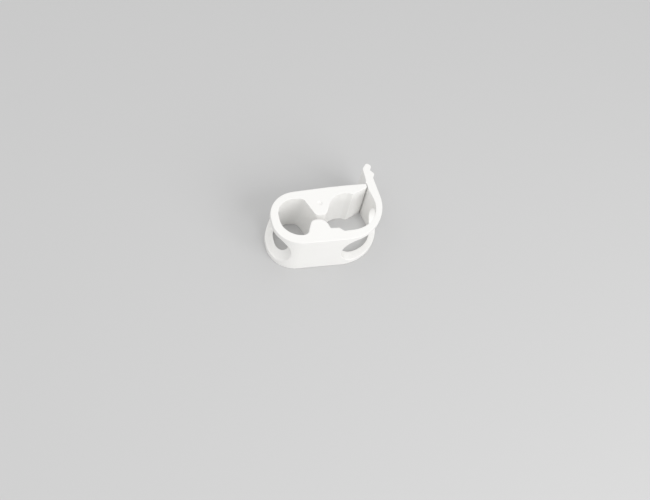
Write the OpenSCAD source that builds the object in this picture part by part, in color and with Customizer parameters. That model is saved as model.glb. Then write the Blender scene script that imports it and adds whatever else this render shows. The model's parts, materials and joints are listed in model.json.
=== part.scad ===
// Tubing pinch clamp, latched: one moulded strip with two toothed jaws, a hinge bow, a latch wall
// and a slot for the tubing in each bend. The clamp lies on its side: X runs along the tubing,
// Y from the lower jaw to the upper jaw and Z across the strip, up from the face it lies on.
// The outline is laid out from the pinch line, where the two teeth squeeze the tubing flat.

/* [Strip] */
// Width of the strip, from side face to side face
clamp_w = 19; // [17:0.5:26]
// Thickness of the hinge bow
bow_t = 3.7; // [3:0.1:4.5]
// Thickness of the lower jaw beside the hinge bow
base_t = 4.4; // [3.6:0.1:5.2]
// Thickness of the lower jaw beside the long bend
floor_t = 4.75; // [4:0.05:5.4]
// Thickness of the upper jaw beside the hinge bow
top_t = 3.8; // [3.2:0.1:4.6]
// Thickness of the upper jaw beside the catch
span_t = 4.25; // [3.6:0.05:5]
// Thickness of the latch wall at its foot
wall_t = 3.1; // [2.6:0.1:3.6]
// Thickness of the latch wall behind the catch
head_t = 3.9; // [3.4:0.1:4.6]

/* [Layout from the pinch line] */
// Out to the outer face of the hinge bow
bow_reach = 21.8; // [20:0.2:26]
// Out to the outer face of the latch wall, at its foot
latch_reach = 30; // [29:0.2:34]
// Down to the bottom face
base_depth = 13.2; // [12.4:0.1:15]
// Up to the outer face of the upper jaw, at the catch
top_height = 16.05; // [15:0.05:18]
// Fall of that face from its crown to the hinge bow
top_fall = 2.1; // [0:0.1:2.6]
// Out to the crown of the upper jaw
crown_x = 12; // [8:0.2:14]

/* [Bends] */
// Outer radius of the hinge bow at the lower jaw
bow_r = 11.9; // [9:0.1:13]
// Outer radius of the hinge bow at the upper jaw
bow_top_r = 13.8; // [9:0.1:14.2]
// Inner radius of the hinge bow
bow_in_r = 8.7; // [6:0.1:9]
// Outer radius of the long bend into the latch wall
sweep_r = 20.7; // [17:0.1:21]
// Inner radius of the long bend
sweep_in_r = 13.6; // [11:0.1:14]
// Rise of the lower jaw's inner face towards the long bend, in degrees
floor_rise = 3; // [0:0.5:5]
// Lean of the latch wall towards the jaws, in degrees
wall_lean = 3.6; // [0:0.2:6]

/* [Teeth] */
// Gap left between the two teeth
pinch_gap = 2.3; // [1.6:0.1:3]
// Width of the upper tooth's blunt tip
upper_tip_w = 4.8; // [4:0.1:6]
// Slope of the upper tooth's flank on the bow side, in degrees
upper_flank_a = 69.5; // [60:0.5:80]
// Slope of its flank on the latch side, in degrees
upper_flank_b = 63.5; // [58:0.5:75]
// Radius of the corners of its tip
upper_tip_r = 1.9; // [0.6:0.1:2.2]
// Offset of the upper tooth towards the latch
upper_offset = 0.85; // [0:0.05:1.5]
// Radius of its root on the bow side
upper_root_a = 3; // [1:0.1:4]
// Radius of its root on the latch side
upper_root_b = 9; // [3:0.1:9.5]
// Width of the lower tooth's crown
lower_tip_w = 6.1; // [5.9:0.1:7]
// Offset of the lower tooth towards the hinge bow
lower_offset = 1; // [0:0.05:1.6]
// Slope of its flank on the bow side, in degrees
lower_flank_a = 67; // [60:0.5:80]
// Slope of its flank on the latch side, in degrees
lower_flank_b = 76; // [70:0.5:82]
// Radius of its crown on the bow side
lower_crown_a = 3.3; // [1:0.1:3.4]
// Radius of its crown on the latch side
lower_crown_b = 4.2; // [1:0.1:4.2]
// Radius of its root on the bow side
lower_root_r = 3; // [1:0.1:3.5]
// Length of the low step beside the lower tooth
step_l = 3.8; // [3:0.1:5]
// Height of the step above the inner face
step_h = 2; // [1:0.1:2.6]

/* [Catch] */
// Clearance between the tip of the upper jaw and the latch wall
tip_gap = 0.4; // [0.3:0.05:0.6]
// Height of the tip's end face
tip_h = 1.9; // [1.4:0.1:2.6]
// Length of the taper behind the tip
taper_l = 7.3; // [5:0.1:9]
// Depth of the heel where the taper starts, below the outer face
heel_t = 5.25; // [4.9:0.05:5.8]
// Clearance between the top of the tip and the catch
catch_gap = 0.2; // [0.15:0.05:0.4]
// Reach of the catch beyond the face of the latch wall
catch_d = 0.4; // [0.2:0.05:0.5]
// Height of the catch
catch_h = 1.5; // [1:0.1:2.4]

/* [Thumb tab] */
// Height of the tab above the upper jaw
tab_h = 11.4; // [9:0.1:14]
// Height of each grip ridge
ridge_h = 4.2; // [3.4:0.1:5]
// Depth of the notch below each ridge
notch_d = 1.1; // [0.6:0.1:1.4]
// Radius of the ridges
ridge_r = 1.1; // [0.6:0.1:1.3]
// Radius of the notches
notch_r = 0.9; // [0.5:0.1:1]
// Width of the tab's top
tab_w = 2.6; // [2:0.1:3]
// Height of the bevel on the tab's inner side
bevel_h = 2.8; // [2.4:0.1:4]

/* [Edges] */
// Radius of the edges of the upper jaw's tip
tip_r = 0.3; // [0.1:0.05:0.5]
// Radius of the crown of the upper jaw
crown_r = 160; // [60:5:200]
// Radius of the heel of the taper
heel_r = 1.5; // [0.5:0.1:2]
// Radius of the step's edges
step_r = 0.7; // [0.3:0.05:0.9]
// Radius of the step's foot
step_foot_r = 1.1; // [0.4:0.1:1.5]
// Radius of the catch's nose
catch_r = 0.3; // [0.1:0.05:0.4]

/* [Tubing slots] */
// Width of both slots, a running clearance over the tubing
slot_w = 14.4; // [10:0.1:15]
// Round end of the bow's slot, from the pinch line
bow_slot_x = 14.4; // [13:0.1:16]
// Diameter of that round end
bow_slot_d = 15.6; // [15:0.1:17]
// Top of the bow's slot, above the pinch line
bow_slot_y = 9.4; // [8:0.1:10.5]
// Round end of the latch's slot, from the pinch line
latch_slot_x = 8.4; // [8:0.1:11]
// Top of the latch's slot, above the pinch line
latch_slot_y = 7.4; // [6:0.1:9]

/* [Gate mark] */
// Diameter of the shallow gate mark on the upper tooth's side
gate_d = 1.9; // [1:0.1:3]
// Depth of the gate mark
gate_depth = 0.3; // [0.1:0.05:0.6]
// Place of the gate mark along the clamp, from the pinch line
gate_x = 1.8; // [0:0.1:3]
// Height of the gate mark above the pinch line
gate_y = 7.4; // [4:0.1:10]

/* [Flexures] */
// Height of the hinge flexure above the pinch line
hinge_y = 0.8; // [-1:0.1:2]
// Place of the latch flexure round the long bend, in degrees below its centre
latch_turn = 45; // [35:1:55]
// Inward travel of the latch wall that sets the catch over the tip, in degrees
latch_press = 0.8; // [0.4:0.1:1.2]

/* [Hidden] */

moulding = [0.955, 0.95, 0.935];
// Reach of the cutting shapes, and how far a cutter overruns a face
far = 60;
over = 1;
arc_step = 6;
bore_fn = 96;

// Faces of the strip. The upper jaw falls towards the bow, and top_t is its thickness at the middle
// of the cell between the bow and the teeth
cell_x = -9;
bow_in_x = -bow_reach + bow_t;
base_y = -base_depth;
base_in_y = base_y + base_t;
top_in_y = top_height - top_fall * (crown_x - cell_x) / (crown_x + bow_reach) - top_t;
span_in_y = top_height - span_t;

// Latch wall: its outer face leans from the foot, and its inner face from the foot to the head
foot_y = 7.5;
face_foot_y = 5;
head_depth = 3;
lean = tan(wall_lean);
wall_x = function (y) latch_reach - (y - foot_y) * lean;
catch_y = top_height + catch_gap;
face_x = wall_x(catch_y) - head_t;
face_low_y = top_height - head_depth;
tip_x = face_x - tip_gap;
foot_x = latch_reach - wall_t;
face_slope = (foot_x - face_x) / (face_low_y - face_foot_y);
floor_y = base_y + floor_t;
sweep_in_x = foot_x + (face_foot_y - floor_y) * face_slope;
face_r = 6;

// Teeth
upper_y = pinch_gap / 2;
upper_a_x = upper_offset - upper_tip_w / 2;
upper_b_x = upper_offset + upper_tip_w / 2;
lower_y = -pinch_gap / 2;
lower_a_x = -lower_offset - lower_tip_w / 2;
lower_b_x = -lower_offset + lower_tip_w / 2;
step_y = floor_y + step_h;
lower_b_root = lower_b_x + (lower_y - step_y) / tan(lower_flank_b);
step_end = lower_b_root + step_l;
heel_l = 2.2;

// Thumb tab: two ridges stand on its outer face, each with its crest past the middle of its height
tab_y = top_height + tab_h;
ridge_out = 0.1;
crest = [0.55, 0.62];
grip_x = function (y) wall_x(y) + ridge_out;
ridge_1_y = tab_y - 2 * ridge_h;
ridge_2_y = tab_y - ridge_h;
crown_rise = 0.25;
tab_x = face_x + 0.1;
bevel_r = 2;
catch_mid = 0.45;
catch_top_y = catch_y + catch_h + 0.4;

// One corner of an outline, turned into the points of its arc. p, c and n are the corners before,
// at and after it, each [x, y, radius]
function flat(p) = [p[0], p[1]];
function unit(v) = v / norm(v);
function corner(p, c, n) =
    let (
        a = unit(flat(p) - flat(c)),
        b = unit(flat(n) - flat(c)),
        half = acos(a * b) / 2,
        turn = 180 - 2 * half,
        side = sign(a[0] * b[1] - a[1] * b[0]),
        middle = flat(c) + unit(a + b) * c[2] / sin(half),
        start = flat(c) + a * c[2] / tan(half) - middle,
        from = atan2(start[1], start[0]),
        steps = max(1, ceil(turn / arc_step))
    )
    c[2] == 0
        ? [flat(c)]
        : [for (i = [0 : steps]) middle + c[2] * [for (f = [0, 90]) cos(from - side * turn * i / steps - f)]];
function rounded(corners) =
    let (count = len(corners))
    [
        for (i = [0 : count - 1])
            each corner(corners[(i + count - 1) % count], corners[i], corners[(i + 1) % count])
    ];

// Outer side, from the tip of the upper jaw round the bow and the long bend to the thumb tab
outer_side = [
    [tip_x, top_height, tip_r],
    [crown_x, top_height, crown_r],
    [-bow_reach, top_height - top_fall, bow_top_r],
    [-bow_reach, base_y, bow_r],
    [wall_x(base_y), base_y, sweep_r],
    [wall_x(ridge_1_y), ridge_1_y, notch_r],
    [grip_x(ridge_1_y) + notch_d, ridge_1_y + crest[0] * ridge_h, ridge_r],
    [grip_x(ridge_2_y) - notch_d / 4, ridge_2_y + notch_d / 4, notch_r / 2],
    [grip_x(ridge_2_y) + notch_d, ridge_2_y + crest[1] * ridge_h, ridge_r],
    [face_x + tab_w, tab_y + crown_rise, notch_r],
];
// Inner side of the latch wall, with the catch
latch_side = [
    [tab_x, tab_y - bevel_h, bevel_r],
    [tab_x, catch_top_y, 2 * catch_r],
    [face_x - catch_d, catch_y + catch_mid * catch_h, catch_r],
    [face_x - catch_d, catch_y, catch_r / 3],
    [face_x, catch_y, 0],
    [face_x, face_low_y, face_r],
    [sweep_in_x, floor_y + (sweep_in_x - step_end) * tan(floor_rise), sweep_in_r],
];
// Inner side of the lower jaw and the bow, with the step and the lower tooth
lower_side = [
    [step_end + step_h, floor_y, step_foot_r],
    [step_end, step_y, step_r],
    [lower_b_root, step_y, step_r],
    [lower_b_x, lower_y, lower_crown_b],
    [lower_a_x, lower_y, lower_crown_a],
    [lower_a_x - (lower_y - base_in_y) / tan(lower_flank_a), base_in_y, lower_root_r],
    [bow_in_x, base_in_y, bow_in_r],
];
// Inner side of the upper jaw, with the upper tooth and the taper
upper_side = [
    [bow_in_x, top_in_y, bow_in_r],
    [upper_a_x - (top_in_y - upper_y) / tan(upper_flank_a), top_in_y, upper_root_a],
    [upper_a_x, upper_y, upper_tip_r],
    [upper_b_x, upper_y, upper_tip_r],
    [upper_b_x + (span_in_y - upper_y) / tan(upper_flank_b), span_in_y, upper_root_b],
    [tip_x - taper_l - heel_l, span_in_y, heel_r],
    [tip_x - taper_l, top_height - heel_t, 2 * tip_r],
    [tip_x, top_height - tip_h, tip_r],
];
outline = rounded(concat(outer_side, latch_side, lower_side, upper_side));

// The part stands in the middle of its own frame
low = [for (axis = [0, 1]) min([for (p = outline) p[axis]])];
high = [for (axis = [0, 1]) max([for (p = outline) p[axis]])];
middle = (low + high) / 2;

// Flexures: the jaw turns about the bow's outer face and the latch about the long bend's outer face
bend_y = base_y + sweep_r;
bend_centre = [wall_x(bend_y) - sweep_r / cos(wall_lean), bend_y];
function ray(angle) = [cos(angle), sin(angle)];
jaw_pivot = [-bow_reach, hinge_y];
latch_pivot = bend_centre + sweep_r * ray(-latch_turn);
tip_wall_x = face_x - tip_gap / 2;
tip_wall_y = top_height + catch_gap / 2;

// Upper jaw's share of the outline: above the bow's flexure and short of the latch wall
module jaw_share() {
    translate([-far, hinge_y]) square([far + tip_wall_x, tip_wall_y - hinge_y]);
}

// Latch's share of the outline: beyond a ray across the long bend. The given angle opens the cut
// inwards from the pivot on the outer face
module latch_share(angle) {
    cut = -latch_turn - angle;
    inside = latch_pivot - 2 * floor_t * ray(cut);
    catch_x = face_x - 2 * tip_gap - catch_d;
    polygon([
        latch_pivot + far * ray(cut),
        inside,
        [tip_wall_x, tip_wall_y - top_height],
        [tip_wall_x, tip_wall_y],
        [catch_x, tip_wall_y],
        [catch_x, far],
        [far, far],
    ]);
}

module strip() {
    translate([-middle[0], -middle[1], 0]) linear_extrude(clamp_w) children();
}

// A bore at mid-width, along X or Y from the given point of the outline
module bore_x(from, length) {
    translate([from[0] - middle[0], from[1] - middle[1], clamp_w / 2])
        rotate([0, 90, 0]) cylinder(d = slot_w, h = length, $fn = bore_fn);
}
module bore_y(from, length, d) {
    translate([from[0] - middle[0], from[1] - middle[1], clamp_w / 2])
        rotate([-90, 0, 0]) cylinder(d = d, h = length, $fn = bore_fn);
}
module slot_box(from, to) {
    translate([from[0] - middle[0], from[1] - middle[1], (clamp_w - slot_w) / 2])
        cube([to[0] - from[0], to[1] - from[1], slot_w]);
}

// Slot round the hinge bow: a round top along X, and a round end in plan under the lower jaw
module bow_slot() {
    top = bow_slot_y - slot_w / 2;
    low_y = base_y - over;
    intersection() {
        translate([-bow_reach - over - middle[0], top - middle[1], clamp_w / 2])
            rotate([90, 0, 90]) linear_extrude(bow_reach + 2 * over - bow_slot_x) union() {
                circle(d = slot_w, $fn = bore_fn);
                translate([low_y - top, -slot_w / 2]) square([top - low_y, slot_w]);
            }
        bore_y([-bow_slot_x - bow_slot_d / 2, low_y - over], bow_slot_y - low_y + 2 * over, bow_slot_d);
    }
}

// Slot round the long bend: a round end under the lower jaw, a straight run and a round top
module latch_slot() {
    top = latch_slot_y - slot_w / 2;
    centre = latch_slot_x + slot_w / 2;
    bore_y([centre, base_y - over], floor_t + step_h + over, slot_w);
    slot_box([centre, base_y - over], [high[0] + over, top]);
    bore_x([tip_x - 4 * over, top], high[0] - tip_x + 5 * over);
}

module gate_mark() {
    translate([gate_x - middle[0], gate_y - middle[1], clamp_w - gate_depth])
        cylinder(d = gate_d, h = gate_depth + over, $fn = bore_fn);
}

module lower_jaw() {
    color(moulding) difference() {
        strip() difference() {
            polygon(outline);
            jaw_share();
            latch_share(0);
        }
        bow_slot();
        latch_slot();
    }
}

module upper_jaw() {
    color(moulding) difference() {
        strip() intersection() {
            polygon(outline);
            jaw_share();
        }
        bow_slot();
        gate_mark();
    }
}

module latch() {
    color(moulding) difference() {
        strip() intersection() {
            polygon(outline);
            latch_share(latch_press);
        }
        latch_slot();
    }
}

lower_jaw();
upper_jaw();
latch();
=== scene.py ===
import json
import math

import bpy
from mathutils import Matrix, Vector


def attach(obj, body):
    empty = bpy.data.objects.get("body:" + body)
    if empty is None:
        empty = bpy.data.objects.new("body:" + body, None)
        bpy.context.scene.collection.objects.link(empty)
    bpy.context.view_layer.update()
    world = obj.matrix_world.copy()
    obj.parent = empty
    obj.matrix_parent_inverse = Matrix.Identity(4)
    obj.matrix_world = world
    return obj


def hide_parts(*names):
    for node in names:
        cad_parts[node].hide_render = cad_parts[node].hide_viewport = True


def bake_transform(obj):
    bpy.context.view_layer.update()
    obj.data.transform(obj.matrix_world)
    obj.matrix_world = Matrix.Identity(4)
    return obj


bl_info = {
    "name": "Tubing Pinch Clamp",
    "version": (1, 0, 0),
    "blender": (4, 5, 0),
    "location": "View3D > Sidebar > Clamp",
    "description": "Dresses a latched tubing pinch clamp, moulded in one piece of white acetal",
    "category": "Add Mesh",
}

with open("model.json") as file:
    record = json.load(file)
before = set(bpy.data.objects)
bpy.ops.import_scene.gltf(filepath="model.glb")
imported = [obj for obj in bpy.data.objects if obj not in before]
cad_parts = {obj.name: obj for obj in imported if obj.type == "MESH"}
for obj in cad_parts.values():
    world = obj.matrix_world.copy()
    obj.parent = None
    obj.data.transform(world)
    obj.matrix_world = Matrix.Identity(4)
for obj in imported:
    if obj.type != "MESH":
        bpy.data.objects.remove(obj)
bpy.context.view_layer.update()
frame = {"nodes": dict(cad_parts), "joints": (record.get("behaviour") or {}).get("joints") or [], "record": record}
JOINTS = {joint["name"]: joint for joint in frame["joints"]}
MOUNTS = {mount["name"]: mount for mount in frame["record"]["mounts"]}
PINCH = Vector(MOUNTS["tubing_passage"]["pos_m"])
JAW_PIVOT = Vector(JOINTS["jaw_opening"]["pos_m"])
LATCH_PIVOT = Vector(JOINTS["latch_release"]["pos_m"])
# How the strip runs through the two pivots. The flexure's cut lies square across it.
BOW_RUN = Vector((0, 1, 0))
BEND_RUN = Vector((math.sqrt(0.5), math.sqrt(0.5), 0))
# Ways along X
TO_LATCH = 1
TO_BOW = -1
# Sides of the pinch line
UPPER = 1
LOWER = -1
# Vertices this close to each other are one, and this close to a seam they lie on it
MERGE = 1e-6
# A cut face lies this close to its pivot's plane, and the rims of the two sides this close together
CUT_GAP = 1e-4
# Most that a cut face may be turned from that plane
CUT_TURN = math.radians(2)
# Edges that turn more than this are shaded sharp
CREASE = math.radians(55)
# The name of the plastic's material
PLASTIC = "white_acetal"
# Refractive index of acetal
ACETAL_IOR = 1.48
WHITE = (1, 1, 1, 1)
# Sockets of a Mix node that mixes colours: its factor, its two colours and its result
FACTOR, FIRST, SECOND, RESULT = 0, 6, 7, 2
# Width of the camera's sensor in millimetres, and the nearest that it sees in metres
SENSOR_WIDTH = 36
NEAREST = 0.01


class ClampForm(bpy.types.PropertyGroup):
    """Surface, seams and flexures of the moulding."""

    depth: bpy.props.IntProperty(
        name="Surface depth",
        description="Halvings of a piece's length down to the cells that its surface is made of",
        default=8,
        min=6,
        max=8,
    )
    spread: bpy.props.FloatProperty(
        name="Surface spread",
        description="Share of the cells' whole span that a piece fills",
        default=0.95,
        min=0.5,
        max=0.99,
    )
    softness: bpy.props.IntProperty(
        name="Edge softness",
        description="Passes of smoothing over the moulded surface",
        default=6,
        min=1,
        max=20,
    )
    pass_strength: bpy.props.FloatProperty(
        name="Pass strength",
        description="How far one pass of smoothing moves a vertex towards its neighbours",
        default=0.5,
        min=0,
        max=1,
        subtype="FACTOR",
    )
    bow_seam: bpy.props.FloatProperty(
        name="Bow seam",
        description="Place of the hidden butt seams between the bow and the jaws, from the pinch line",
        default=-0.009,
        precision=5,
        unit="LENGTH",
    )
    latch_seam: bpy.props.FloatProperty(
        name="Latch seam",
        description="Place of the hidden butt seam beside the long bend, from the pinch line",
        default=0.0053,
        precision=5,
        unit="LENGTH",
    )
    bow_flex: bpy.props.FloatVectorProperty(
        name="Bow flexure",
        description="Heights from the pinch line between which the hinge bow bends",
        default=(-0.0087, 0.0103),
        size=2,
        precision=5,
        unit="LENGTH",
    )
    latch_flex: bpy.props.FloatProperty(
        name="Long bend flexure",
        description="Length of the long bend that bends, each way from the latch's pivot",
        default=0.0035,
        precision=5,
        unit="LENGTH",
    )


class ClampFinish(bpy.types.PropertyGroup):
    """Colour and surface of the plastic."""

    colour: bpy.props.FloatVectorProperty(
        name="Plastic",
        description="Colour of the natural white plastic",
        default=(0.885, 0.88, 0.865),
        subtype="COLOR",
        min=0,
        max=1,
    )
    colour_warm: bpy.props.FloatVectorProperty(
        name="Warm tone",
        description="Colour in the slightly warmer patches",
        default=(0.865, 0.857, 0.835),
        subtype="COLOR",
        min=0,
        max=1,
    )
    patch_scale: bpy.props.FloatProperty(
        name="Patch scale",
        description="Warmer patches in a metre",
        default=70,
    )
    roughness: bpy.props.FloatProperty(
        name="Roughness",
        description="Mean roughness of the moulded surface",
        default=0.38,
        min=0,
        max=1,
        subtype="FACTOR",
    )
    sheen_range: bpy.props.FloatProperty(
        name="Sheen range",
        description="Most that the roughness differs between two places",
        default=0.12,
        min=0,
        max=1,
        subtype="FACTOR",
    )
    sheen_scale: bpy.props.FloatProperty(
        name="Sheen scale",
        description="Changes of the roughness in a metre",
        default=450,
    )
    grain: bpy.props.FloatProperty(
        name="Grain",
        description="Height of the fine grain that the mould leaves",
        default=0.000012,
        precision=6,
        unit="LENGTH",
    )
    grain_strength: bpy.props.FloatProperty(
        name="Grain strength",
        description="Share of the grain's height that shows",
        default=0.5,
        min=0,
        max=1,
        subtype="FACTOR",
    )
    grain_scale: bpy.props.FloatProperty(
        name="Grain scale",
        description="Grains in a metre",
        default=2600,
    )


class ClampStage(bpy.types.PropertyGroup):
    """Camera, floor and lamps."""

    azimuth: bpy.props.FloatProperty(
        name="Azimuth",
        description="Turn of the view about the vertical",
        default=math.radians(-26.76),
        subtype="ANGLE",
    )
    elevation: bpy.props.FloatProperty(
        name="Elevation",
        description="Height of the view above the horizon",
        default=math.radians(52.46),
        subtype="ANGLE",
    )
    roll: bpy.props.FloatProperty(
        name="Roll",
        description="Turn of the camera about its own view",
        default=math.radians(16.74),
        subtype="ANGLE",
    )
    distance: bpy.props.FloatProperty(
        name="Distance",
        description="Distance of the camera from the view's middle",
        default=0.704,
        unit="LENGTH",
    )
    lens: bpy.props.FloatProperty(
        name="Lens",
        description="Focal length in millimetres",
        default=88.6,
        unit="CAMERA",
    )
    aside: bpy.props.FloatVectorProperty(
        name="Aside",
        description="The view's middle from the pinch line, to the right and up in the picture",
        default=(0.00384, -0.0089),
        size=2,
        precision=5,
        unit="LENGTH",
    )
    floor_colour: bpy.props.FloatVectorProperty(
        name="Floor",
        description="Colour of the plain floor",
        default=(0.58, 0.58, 0.58),
        subtype="COLOR",
        min=0,
        max=1,
    )
    floor_size: bpy.props.FloatProperty(
        name="Floor size",
        description="Length of the floor's side",
        default=3,
        unit="LENGTH",
    )
    top_power: bpy.props.FloatProperty(
        name="Top lamp's power",
        description="Power of the lamp high up on the left",
        default=0.25,
        unit="POWER",
    )
    top_place: bpy.props.FloatVectorProperty(
        name="Top lamp's place",
        description="Middle of the top lamp",
        default=(-0.25, -0.12, 0.55),
        subtype="TRANSLATION",
        unit="LENGTH",
    )
    top_size: bpy.props.FloatProperty(
        name="Top lamp's size",
        description="Side of the top lamp",
        default=0.35,
        unit="LENGTH",
    )
    side_power: bpy.props.FloatProperty(
        name="Side lamp's power",
        description="Power of the lamp on the right",
        default=1.9,
        unit="POWER",
    )
    side_place: bpy.props.FloatVectorProperty(
        name="Side lamp's place",
        description="Middle of the side lamp",
        default=(0.3, -0.5, 0.35),
        subtype="TRANSLATION",
        unit="LENGTH",
    )
    side_size: bpy.props.FloatProperty(
        name="Side lamp's size",
        description="Side of the side lamp",
        default=0.5,
        unit="LENGTH",
    )
    sky: bpy.props.FloatProperty(
        name="Sky",
        description="Strength of the even light from all round",
        default=0.86,
    )


class Wire:
    """A shader socket. Arithmetic on it adds Math nodes."""

    def __init__(self, tree, socket):
        self.tree = tree
        self.socket = socket

    def math(self, operation, *values):
        """What a Math node makes of the values."""
        return self.tree.node("ShaderNodeMath", {"operation": operation}, values)

    def __add__(self, other):
        return self.math("ADD", self, other)

    __radd__ = __add__

    def __mul__(self, other):
        return self.math("MULTIPLY", self, other)

    __rmul__ = __mul__


class Tree:
    """The nodes of one material or world."""

    def __init__(self, owner):
        owner.use_nodes = True
        self.nodes = owner.node_tree.nodes
        self.links = owner.node_tree.links
        self.nodes.clear()

    def node(self, kind, settings=None, inputs=(), output=0):
        """Adds a node: its settings first, then its sockets by place or name. Gives one output."""
        new = self.nodes.new(kind)
        for name, value in (settings or {}).items():
            setattr(new, name, value)
        pairs = inputs.items() if isinstance(inputs, dict) else enumerate(inputs)
        for key, value in pairs:
            if isinstance(value, Wire):
                self.links.new(value.socket, new.inputs[key])
            else:
                new.inputs[key].default_value = value
        return Wire(self, new.outputs[output]) if new.outputs else new


def plastic_material(finish):
    """Natural white acetal: satin, with faint warm patches and the mould's fine grain."""
    material = bpy.data.materials.new(PLASTIC)
    tree = Tree(material)
    place = tree.node("ShaderNodeTexCoord", output="Object")

    def noise(scale, detail):
        sockets = {"Vector": place, "Scale": scale, "Detail": detail, "Roughness": 0.5}
        return tree.node("ShaderNodeTexNoise", {}, sockets)

    patches = noise(finish.patch_scale, detail=2)
    sheen = noise(finish.sheen_scale, detail=3)
    grain = noise(finish.grain_scale, detail=2)
    colour = tree.node(
        "ShaderNodeMix",
        {"data_type": "RGBA"},
        {FACTOR: patches, FIRST: (*finish.colour, 1), SECOND: (*finish.colour_warm, 1)},
        output=RESULT,
    )
    smoothest = finish.roughness - finish.sheen_range / 2
    bump = tree.node(
        "ShaderNodeBump",
        {},
        {"Strength": finish.grain_strength, "Distance": finish.grain, "Height": grain},
    )
    shader = tree.node(
        "ShaderNodeBsdfPrincipled",
        {},
        {
            "Base Color": colour,
            "Roughness": sheen * finish.sheen_range + smoothest,
            "Normal": bump,
            "IOR": ACETAL_IOR,
        },
    )
    tree.node("ShaderNodeOutputMaterial", {}, {"Surface": shader})
    return material


def deselect():
    """Leaves no object selected."""
    bpy.ops.object.select_all(action="DESELECT")


def make_active(piece):
    """Selects the piece by itself and makes it the active one."""
    deselect()
    piece.select_set(True)
    bpy.context.view_layer.objects.active = piece


def copy_piece(piece, name):
    """A copy of the piece with its own mesh, made the active one."""
    make_active(piece)
    bpy.ops.object.duplicate()
    copy = bpy.context.view_layer.objects.active
    copy.name = name
    return copy


def select_in_edit(piece, test):
    """Selects the faces that pass the test, in edit mode."""
    bpy.ops.object.mode_set(mode="EDIT")
    bpy.ops.mesh.select_mode(type="FACE")
    bpy.ops.mesh.select_all(action="DESELECT")
    bpy.ops.object.mode_set(mode="OBJECT")
    for face in piece.data.polygons:
        face.select = bool(test(face))
    bpy.ops.object.mode_set(mode="EDIT")


def joined_copy(name, nodes):
    """One new object made of merged copies of CAD nodes."""
    deselect()
    copies = [bpy.data.objects.new(name, frame["nodes"][node].data.copy()) for node in nodes]
    for copy in copies:
        bpy.context.scene.collection.objects.link(copy)
        copy.select_set(True)
    bpy.context.view_layer.objects.active = copies[0]
    bpy.ops.object.join()
    piece = bpy.context.view_layer.objects.active
    piece.name = name
    bpy.ops.object.mode_set(mode="EDIT")
    bpy.ops.mesh.select_all(action="SELECT")
    bpy.ops.mesh.remove_doubles(threshold=MERGE)
    bpy.ops.object.mode_set(mode="OBJECT")
    return piece


def weld_flexure(piece, pivot, run):
    """Makes two nodes one skin: takes out the cut faces at the pivot and joins their rims."""

    def on_cut(face):
        square = abs(face.normal.dot(run)) > math.cos(CUT_TURN)
        return square and abs((face.center - pivot).dot(run)) < CUT_GAP

    select_in_edit(piece, on_cut)
    bpy.ops.mesh.delete(type="FACE")
    bpy.ops.mesh.select_mode(type="EDGE")
    bpy.ops.mesh.select_all(action="DESELECT")
    bpy.ops.mesh.select_non_manifold(
        use_wire=False,
        use_multi_face=False,
        use_non_contiguous=False,
        use_verts=False,
    )
    bpy.ops.mesh.remove_doubles(threshold=CUT_GAP)
    bpy.ops.mesh.select_all(action="DESELECT")
    bpy.ops.mesh.select_non_manifold(extend=False)
    bpy.ops.object.mode_set(mode="OBJECT")
    left = sum(edge.select for edge in piece.data.edges)
    if left:
        raise RuntimeError(f"{piece.name}: {left} edges stay open at the flexure")


def mould_skin(piece, form):
    """Gives the piece one even skin, its edges a little round as a mould leaves them."""
    remesh = piece.modifiers.new("Skin", "REMESH")
    remesh.mode = "SHARP"
    remesh.octree_depth = form.depth
    remesh.scale = form.spread
    remesh.use_remove_disconnected = False
    bpy.ops.object.modifier_apply(modifier=remesh.name)
    smooth = piece.modifiers.new("Smoothing", "SMOOTH")
    smooth.factor = form.pass_strength
    smooth.iterations = form.softness
    bpy.ops.object.modifier_apply(modifier=smooth.name)


def cut_off(piece, seam, way):
    """Cuts the piece at a plane across the clamp, takes away what lies that way, and closes it."""
    select_in_edit(piece, lambda face: True)
    bpy.ops.mesh.bisect(
        plane_co=(PINCH.x + seam, PINCH.y, PINCH.z),
        plane_no=(way, 0, 0),
        use_fill=True,
        clear_outer=True,
        threshold=MERGE,
    )
    bpy.ops.object.mode_set(mode="OBJECT")


def drop_jaw(piece, side):
    """Takes away the jaw that stands on one side of the pinch line."""
    select_in_edit(piece, lambda face: side * (face.center.y - PINCH.y) > 0)
    bpy.ops.mesh.delete(type="FACE")
    bpy.ops.object.mode_set(mode="OBJECT")


def finish_piece(piece):
    """Gives the piece its plastic and its shading."""
    finish = bpy.context.scene.clamp_finish
    material = bpy.data.materials.get(PLASTIC) or plastic_material(finish)
    piece.data.materials.clear()
    piece.data.materials.append(material)
    bpy.ops.object.shade_smooth_by_angle(angle=CREASE)


class CLAMP_OT_jaws(bpy.types.Operator):
    """Moulds the hinge bow, the upper jaw and the toothed end of the lower jaw"""

    bl_idname = "clamp.jaws"
    bl_label = "Jaws and Hinge Bow"

    def execute(self, context):
        form = context.scene.clamp_form
        bow = joined_copy("hinge_bow", ["lower_jaw", "upper_jaw"])
        weld_flexure(bow, JAW_PIVOT, BOW_RUN)
        mould_skin(bow, form)

        upper = copy_piece(bow, "upper_jaw_skin")
        cut_off(upper, form.bow_seam, TO_BOW)
        drop_jaw(upper, LOWER)
        finish_piece(upper)
        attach(upper, "upper_jaw")
        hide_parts("upper_jaw")

        lower = copy_piece(bow, "lower_jaw_skin")
        cut_off(lower, form.bow_seam, TO_BOW)
        drop_jaw(lower, UPPER)
        cut_off(lower, form.latch_seam, TO_LATCH)
        finish_piece(lower)
        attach(lower, "lower_jaw")
        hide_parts("lower_jaw")

        make_active(bow)
        cut_off(bow, form.bow_seam, TO_LATCH)
        finish_piece(bow)
        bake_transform(bow)
        return {"FINISHED"}


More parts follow.
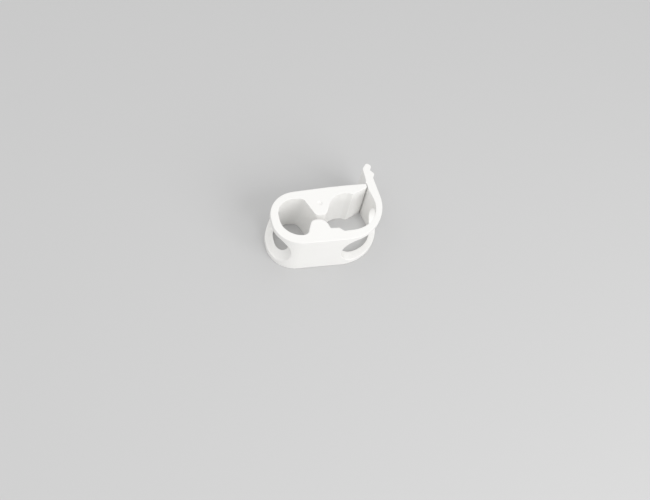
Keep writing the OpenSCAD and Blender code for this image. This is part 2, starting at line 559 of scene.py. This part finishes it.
class CLAMP_OT_latch(bpy.types.Operator):
    """Moulds the long bend with the latch wall, its catch and the thumb tab"""

    bl_idname = "clamp.latch"
    bl_label = "Long Bend and Latch"

    def execute(self, context):
        form = context.scene.clamp_form
        latch = joined_copy("latch_and_bend", ["lower_jaw", "latch"])
        weld_flexure(latch, LATCH_PIVOT, BEND_RUN)
        mould_skin(latch, form)
        cut_off(latch, form.latch_seam, TO_BOW)
        finish_piece(latch)
        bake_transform(latch)
        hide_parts("latch")
        return {"FINISHED"}


def floor_material(stage):
    """A plain, matt, pale grey floor."""
    material = bpy.data.materials.new("plain_floor")
    tree = Tree(material)
    shader = tree.node(
        "ShaderNodeBsdfPrincipled",
        {},
        {"Base Color": (*stage.floor_colour, 1), "Roughness": 0.9, "Specular IOR Level": 0.1},
    )
    tree.node("ShaderNodeOutputMaterial", {}, {"Surface": shader})
    return material


def add_floor(stage):
    """The floor that the clamp lies on."""
    bpy.ops.mesh.primitive_plane_add(size=stage.floor_size)
    floor = bpy.context.object
    floor.name = "floor"
    floor.data.materials.append(floor_material(stage))


def add_sky(stage):
    """Even light from all round, which shows as white behind the object and in gloss."""
    world = bpy.data.worlds.new("sky")
    bpy.context.scene.world = world
    tree = Tree(world)
    kinds = ("Is Camera Ray", "Is Glossy Ray", "Is Transmission Ray")
    camera, glossy, through = (tree.node("ShaderNodeLightPath", output=kind) for kind in kinds)
    dim = tree.node("ShaderNodeBackground", {}, {"Color": WHITE, "Strength": stage.sky})
    bright = tree.node("ShaderNodeBackground", {}, {"Color": WHITE, "Strength": 1})
    both = tree.node("ShaderNodeMixShader", {}, (camera + glossy + through, dim, bright))
    tree.node("ShaderNodeOutputWorld", {}, {"Surface": both})


def add_lamp(name, place, power, size):
    """A square area lamp, aimed at the pinch line."""
    bpy.ops.object.light_add(type="AREA", location=place)
    lamp = bpy.context.object
    lamp.name = name
    lamp.rotation_euler = (PINCH - Vector(place)).to_track_quat("-Z", "Y").to_euler()
    lamp.data.energy = power
    lamp.data.size = size


def add_camera(stage):
    """The camera, at its distance from a point a little aside of the pinch line."""
    a, e, r = stage.azimuth, stage.elevation, stage.roll
    back = Vector((math.sin(a) * math.cos(e), -math.cos(a) * math.cos(e), math.sin(e)))
    level = Vector((math.cos(a), math.sin(a), 0))
    upright = back.cross(level)
    right = math.cos(r) * level + math.sin(r) * upright
    up = math.cos(r) * upright - math.sin(r) * level
    middle = PINCH + stage.aside[0] * right + stage.aside[1] * up
    bpy.ops.object.camera_add(location=middle + stage.distance * back)
    camera = bpy.context.object
    camera.rotation_euler = Matrix((right, up, back)).transposed().to_euler()
    camera.data.sensor_width = SENSOR_WIDTH
    camera.data.lens = stage.lens
    camera.data.clip_start = NEAREST
    bpy.context.scene.camera = camera


class CLAMP_OT_stage(bpy.types.Operator):
    """Adds the floor, the sky, the lamps and the camera"""

    bl_idname = "clamp.stage"
    bl_label = "Stage"

    def execute(self, context):
        stage = context.scene.clamp_stage
        deselect()
        add_floor(stage)
        add_sky(stage)
        add_lamp("top_lamp", stage.top_place, stage.top_power, stage.top_size)
        add_lamp("side_lamp", stage.side_place, stage.side_power, stage.side_size)
        add_camera(stage)
        context.scene.view_settings.view_transform = "Standard"
        return {"FINISHED"}


class CLAMP_PT_panel(bpy.types.Panel):
    """Lists the steps that build the clamp, and their settings"""

    bl_idname = "CLAMP_PT_panel"
    bl_label = "Tubing Pinch Clamp"
    bl_space_type = "VIEW_3D"
    bl_region_type = "UI"
    bl_category = "Clamp"

    def draw(self, context):
        for operator in OPERATORS:
            self.layout.operator(operator.bl_idname)
        for group in GROUPS:
            settings = getattr(context.scene, group)
            for name in settings.__annotations__:
                self.layout.prop(settings, name)


OPERATORS = (CLAMP_OT_jaws, CLAMP_OT_latch, CLAMP_OT_stage)
GROUPS = {"clamp_form": ClampForm, "clamp_finish": ClampFinish, "clamp_stage": ClampStage}
CLASSES = (*GROUPS.values(), *OPERATORS, CLAMP_PT_panel)


def register():
    for item in CLASSES:
        bpy.utils.register_class(item)
    for name, group in GROUPS.items():
        setattr(bpy.types.Scene, name, bpy.props.PointerProperty(type=group))


def unregister():
    for name in GROUPS:
        delattr(bpy.types.Scene, name)
    for item in reversed(CLASSES):
        bpy.utils.unregister_class(item)


def main():
    register()
    bpy.ops.clamp.jaws()
    bpy.ops.clamp.latch()
    bpy.ops.clamp.stage()


if __name__ == "__main__":
    main()
